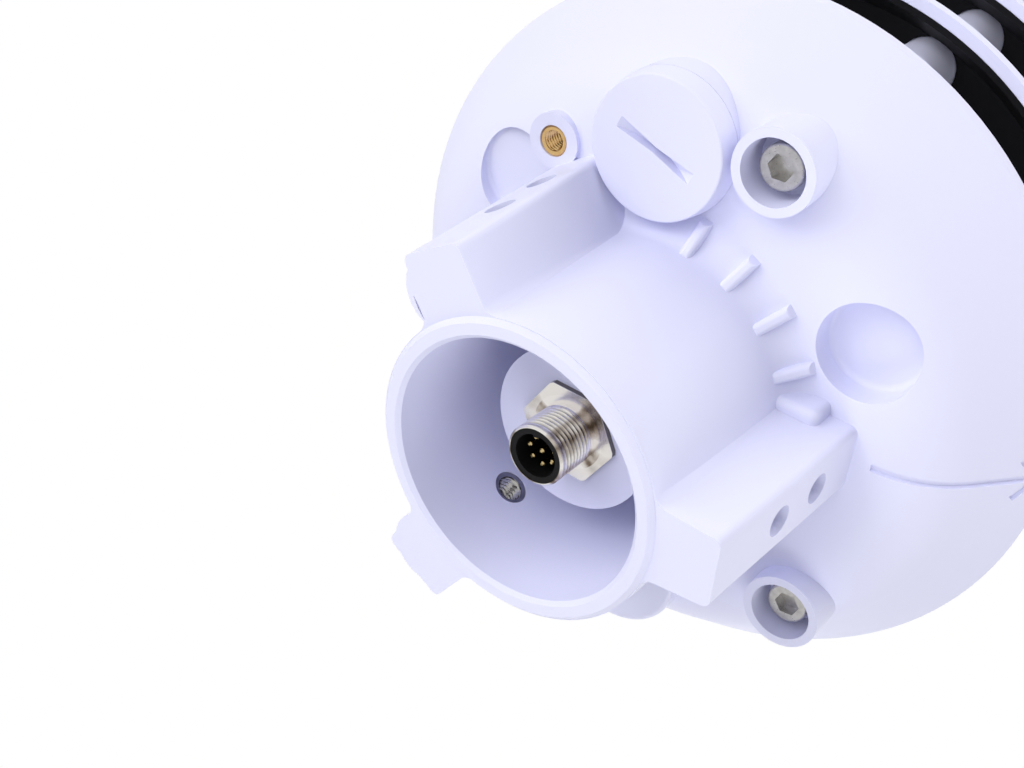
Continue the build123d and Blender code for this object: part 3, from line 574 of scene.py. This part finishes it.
# Boards: two round circuit boards, one over the bowl and one in the wind head, in green
# solder mask over woven glass.
board, shader, place = new_finish("circuit_board", IOR=1.5, Coat_Weight=0.3)
weave = place.noise(0.0008) * 0.5 + place.noise(0.01) * 0.5
feed(shader,
     Base_Color=weave.blend((0.012, 0.075, 0.028, 1), (0.022, 0.12, 0.045, 1)),
     Roughness=0.34 + place.noise(0.002) * 0.1)
cover(board, "main_board", "wind_board")


# Probe filter: a cap over the humidity cell, pressed and sintered from plastic grains, so
# that air passes through its pores. It closes the end of the probe's body.
sinter, shader, place = new_finish("filter", IOR=1.45)
pores = place.noise(0.0004, detail=4.0)
feed(shader,
     Base_Color=pores.blend((0.42, 0.42, 0.43, 1), (0.66, 0.66, 0.67, 1)),
     Roughness=0.75 + pores * 0.15,
     Normal=pores.bump(0.00012))
cover(sinter, "probe_filter")


# Transducers: four ultrasonic discs that face the wind gap. Their faces are matt alloy, and
# each disc is held in a rubber cup of its own in the wind head.
alloy, shader, place = new_finish("transducer_face", Metallic=1.0)
feed(shader,
     Base_Color=place.noise(0.002).blend((0.56, 0.56, 0.58, 1), (0.68, 0.68, 0.70, 1)),
     Roughness=0.36 + place.noise(0.0008) * 0.12,
     Normal=place.noise(0.0006).bump(0.00002))
cover(alloy, *[f"transducer_{i}" for i in (1, 2, 3, 4)])


# Camera: close under the station and to one side, looking up at the pole socket. Its place,
# directions and lens were fitted to the photograph.
CAMERA_AT = (0.13695, 0.10335, -0.15296)
CAMERA_RIGHT = Vector((0.0748, 0.7958, 0.6009))
CAMERA_DOWN = Vector((-0.8391, 0.3758, -0.3933))
CAMERA_AHEAD = Vector((-0.5388, -0.4748, 0.6959))
FOCAL_PIXELS = 1314.8
PICTURE_PIXELS = 1024
SENSOR = 36.0
NEAREST = 0.01
camera = stand("camera", bpy.data.cameras.new("camera"))
axes = Matrix((CAMERA_RIGHT, -CAMERA_DOWN, -CAMERA_AHEAD)).transposed()
camera.matrix_world = Matrix.Translation(CAMERA_AT) @ axes.to_4x4()
camera.data.sensor_width = SENSOR
camera.data.lens = FOCAL_PIXELS / PICTURE_PIXELS * SENSOR
camera.data.clip_start = NEAREST
bpy.context.scene.camera = camera


# Studio: a pale floor well below the station, white all round, and six large soft lamps about
# a metre away, so that the light is even on all sides and reaches into the socket. Metal
# shows the white room and the pale floor, and not the lamps.
LAMP_SIZE = 0.85
LAMP_AWAY = 1.1
LAMP_AIM = Vector((0, 0, 0.05))
# Azimuth and height in degrees, and power
LAMPS = {"left": (315, -30, 7.3), "right": (45, 30, 7.6), "low": (135, -30, 6.7),
         "lens": (0, -48, 4.7), "back": (200, 30, 7.3), "top": (0, 85, 2.6)}
FLOOR_Z = -1.4
FLOOR_HALF = 4
FLOOR_THICK = 0.02
FLOOR_GLOW = 0.80
FLOOR_SEEN = 0.8
SKY = 0.26
SKY_COLOUR = (1.0, 0.97, 0.90, 1)
ROOM_WHITE = (1, 1, 1, 1)


def rays(socket, kind):
    """1 on rays of that kind, and 0 on all others."""
    return socket.add("ShaderNodeLightPath", output=f"Is {kind} Ray")


for name, (azimuth, lift, power) in LAMPS.items():
    light = bpy.data.lights.new(name, "AREA")
    light.size, light.energy = LAMP_SIZE, power
    holder = stand(name, light)
    azimuth, lift = math.radians(azimuth), math.radians(lift)
    away = Vector((math.cos(azimuth) * math.cos(lift), math.sin(azimuth) * math.cos(lift),
                   math.sin(lift)))
    holder.location = LAMP_AIM + away * LAMP_AWAY
    holder.rotation_mode = "QUATERNION"
    holder.rotation_quaternion = (-away).to_track_quat("-Z", "Y")
    holder.visible_camera = holder.visible_glossy = False

corners = [(x * FLOOR_HALF, y * FLOOR_HALF) for x, y in ((-1, -1), (1, -1), (1, 1), (-1, 1))]
floor = stand("floor", solid_from("floor", [
    [(x, y, z) for x, y in corners] for z in (FLOOR_Z - FLOOR_THICK, FLOOR_Z)]))
floor_paint, shader, place = new_finish("floor", Roughness=0.7)
feed(shader, Base_Color=place.noise(0.4).blend((0.80, 0.80, 0.81, 1), (0.83, 0.83, 0.84, 1)))
tree = floor_paint.node_tree
paint = Socket(tree, shader.outputs["BSDF"])
glow = place.add("ShaderNodeEmission", {}, {"Color": ROOM_WHITE, "Strength": FLOOR_GLOW})
pale = rays(place, "Glossy") + rays(place, "Camera") * FLOOR_SEEN
surface = place.add("ShaderNodeMixShader", {}, {0: pale, 1: paint, 2: glow})
tree.links.new(surface.socket, tree.nodes["Material Output"].inputs["Surface"])
floor.data.materials.append(floor_paint)

world = bpy.data.worlds.new("studio")
bpy.context.scene.world = world
world.use_nodes = True
tree = world.node_tree
background = tree.nodes["Background"]
sky = Socket(tree, background.outputs["Background"])
seen = rays(sky, "Camera") + rays(sky, "Glossy") + rays(sky, "Transmission")
tree.links.new(seen.blend(SKY_COLOUR, ROOM_WHITE).socket, background.inputs["Color"])
tree.links.new((SKY + seen * (1.0 - SKY)).socket, background.inputs["Strength"])
bpy.context.scene.view_settings.view_transform = "Standard"
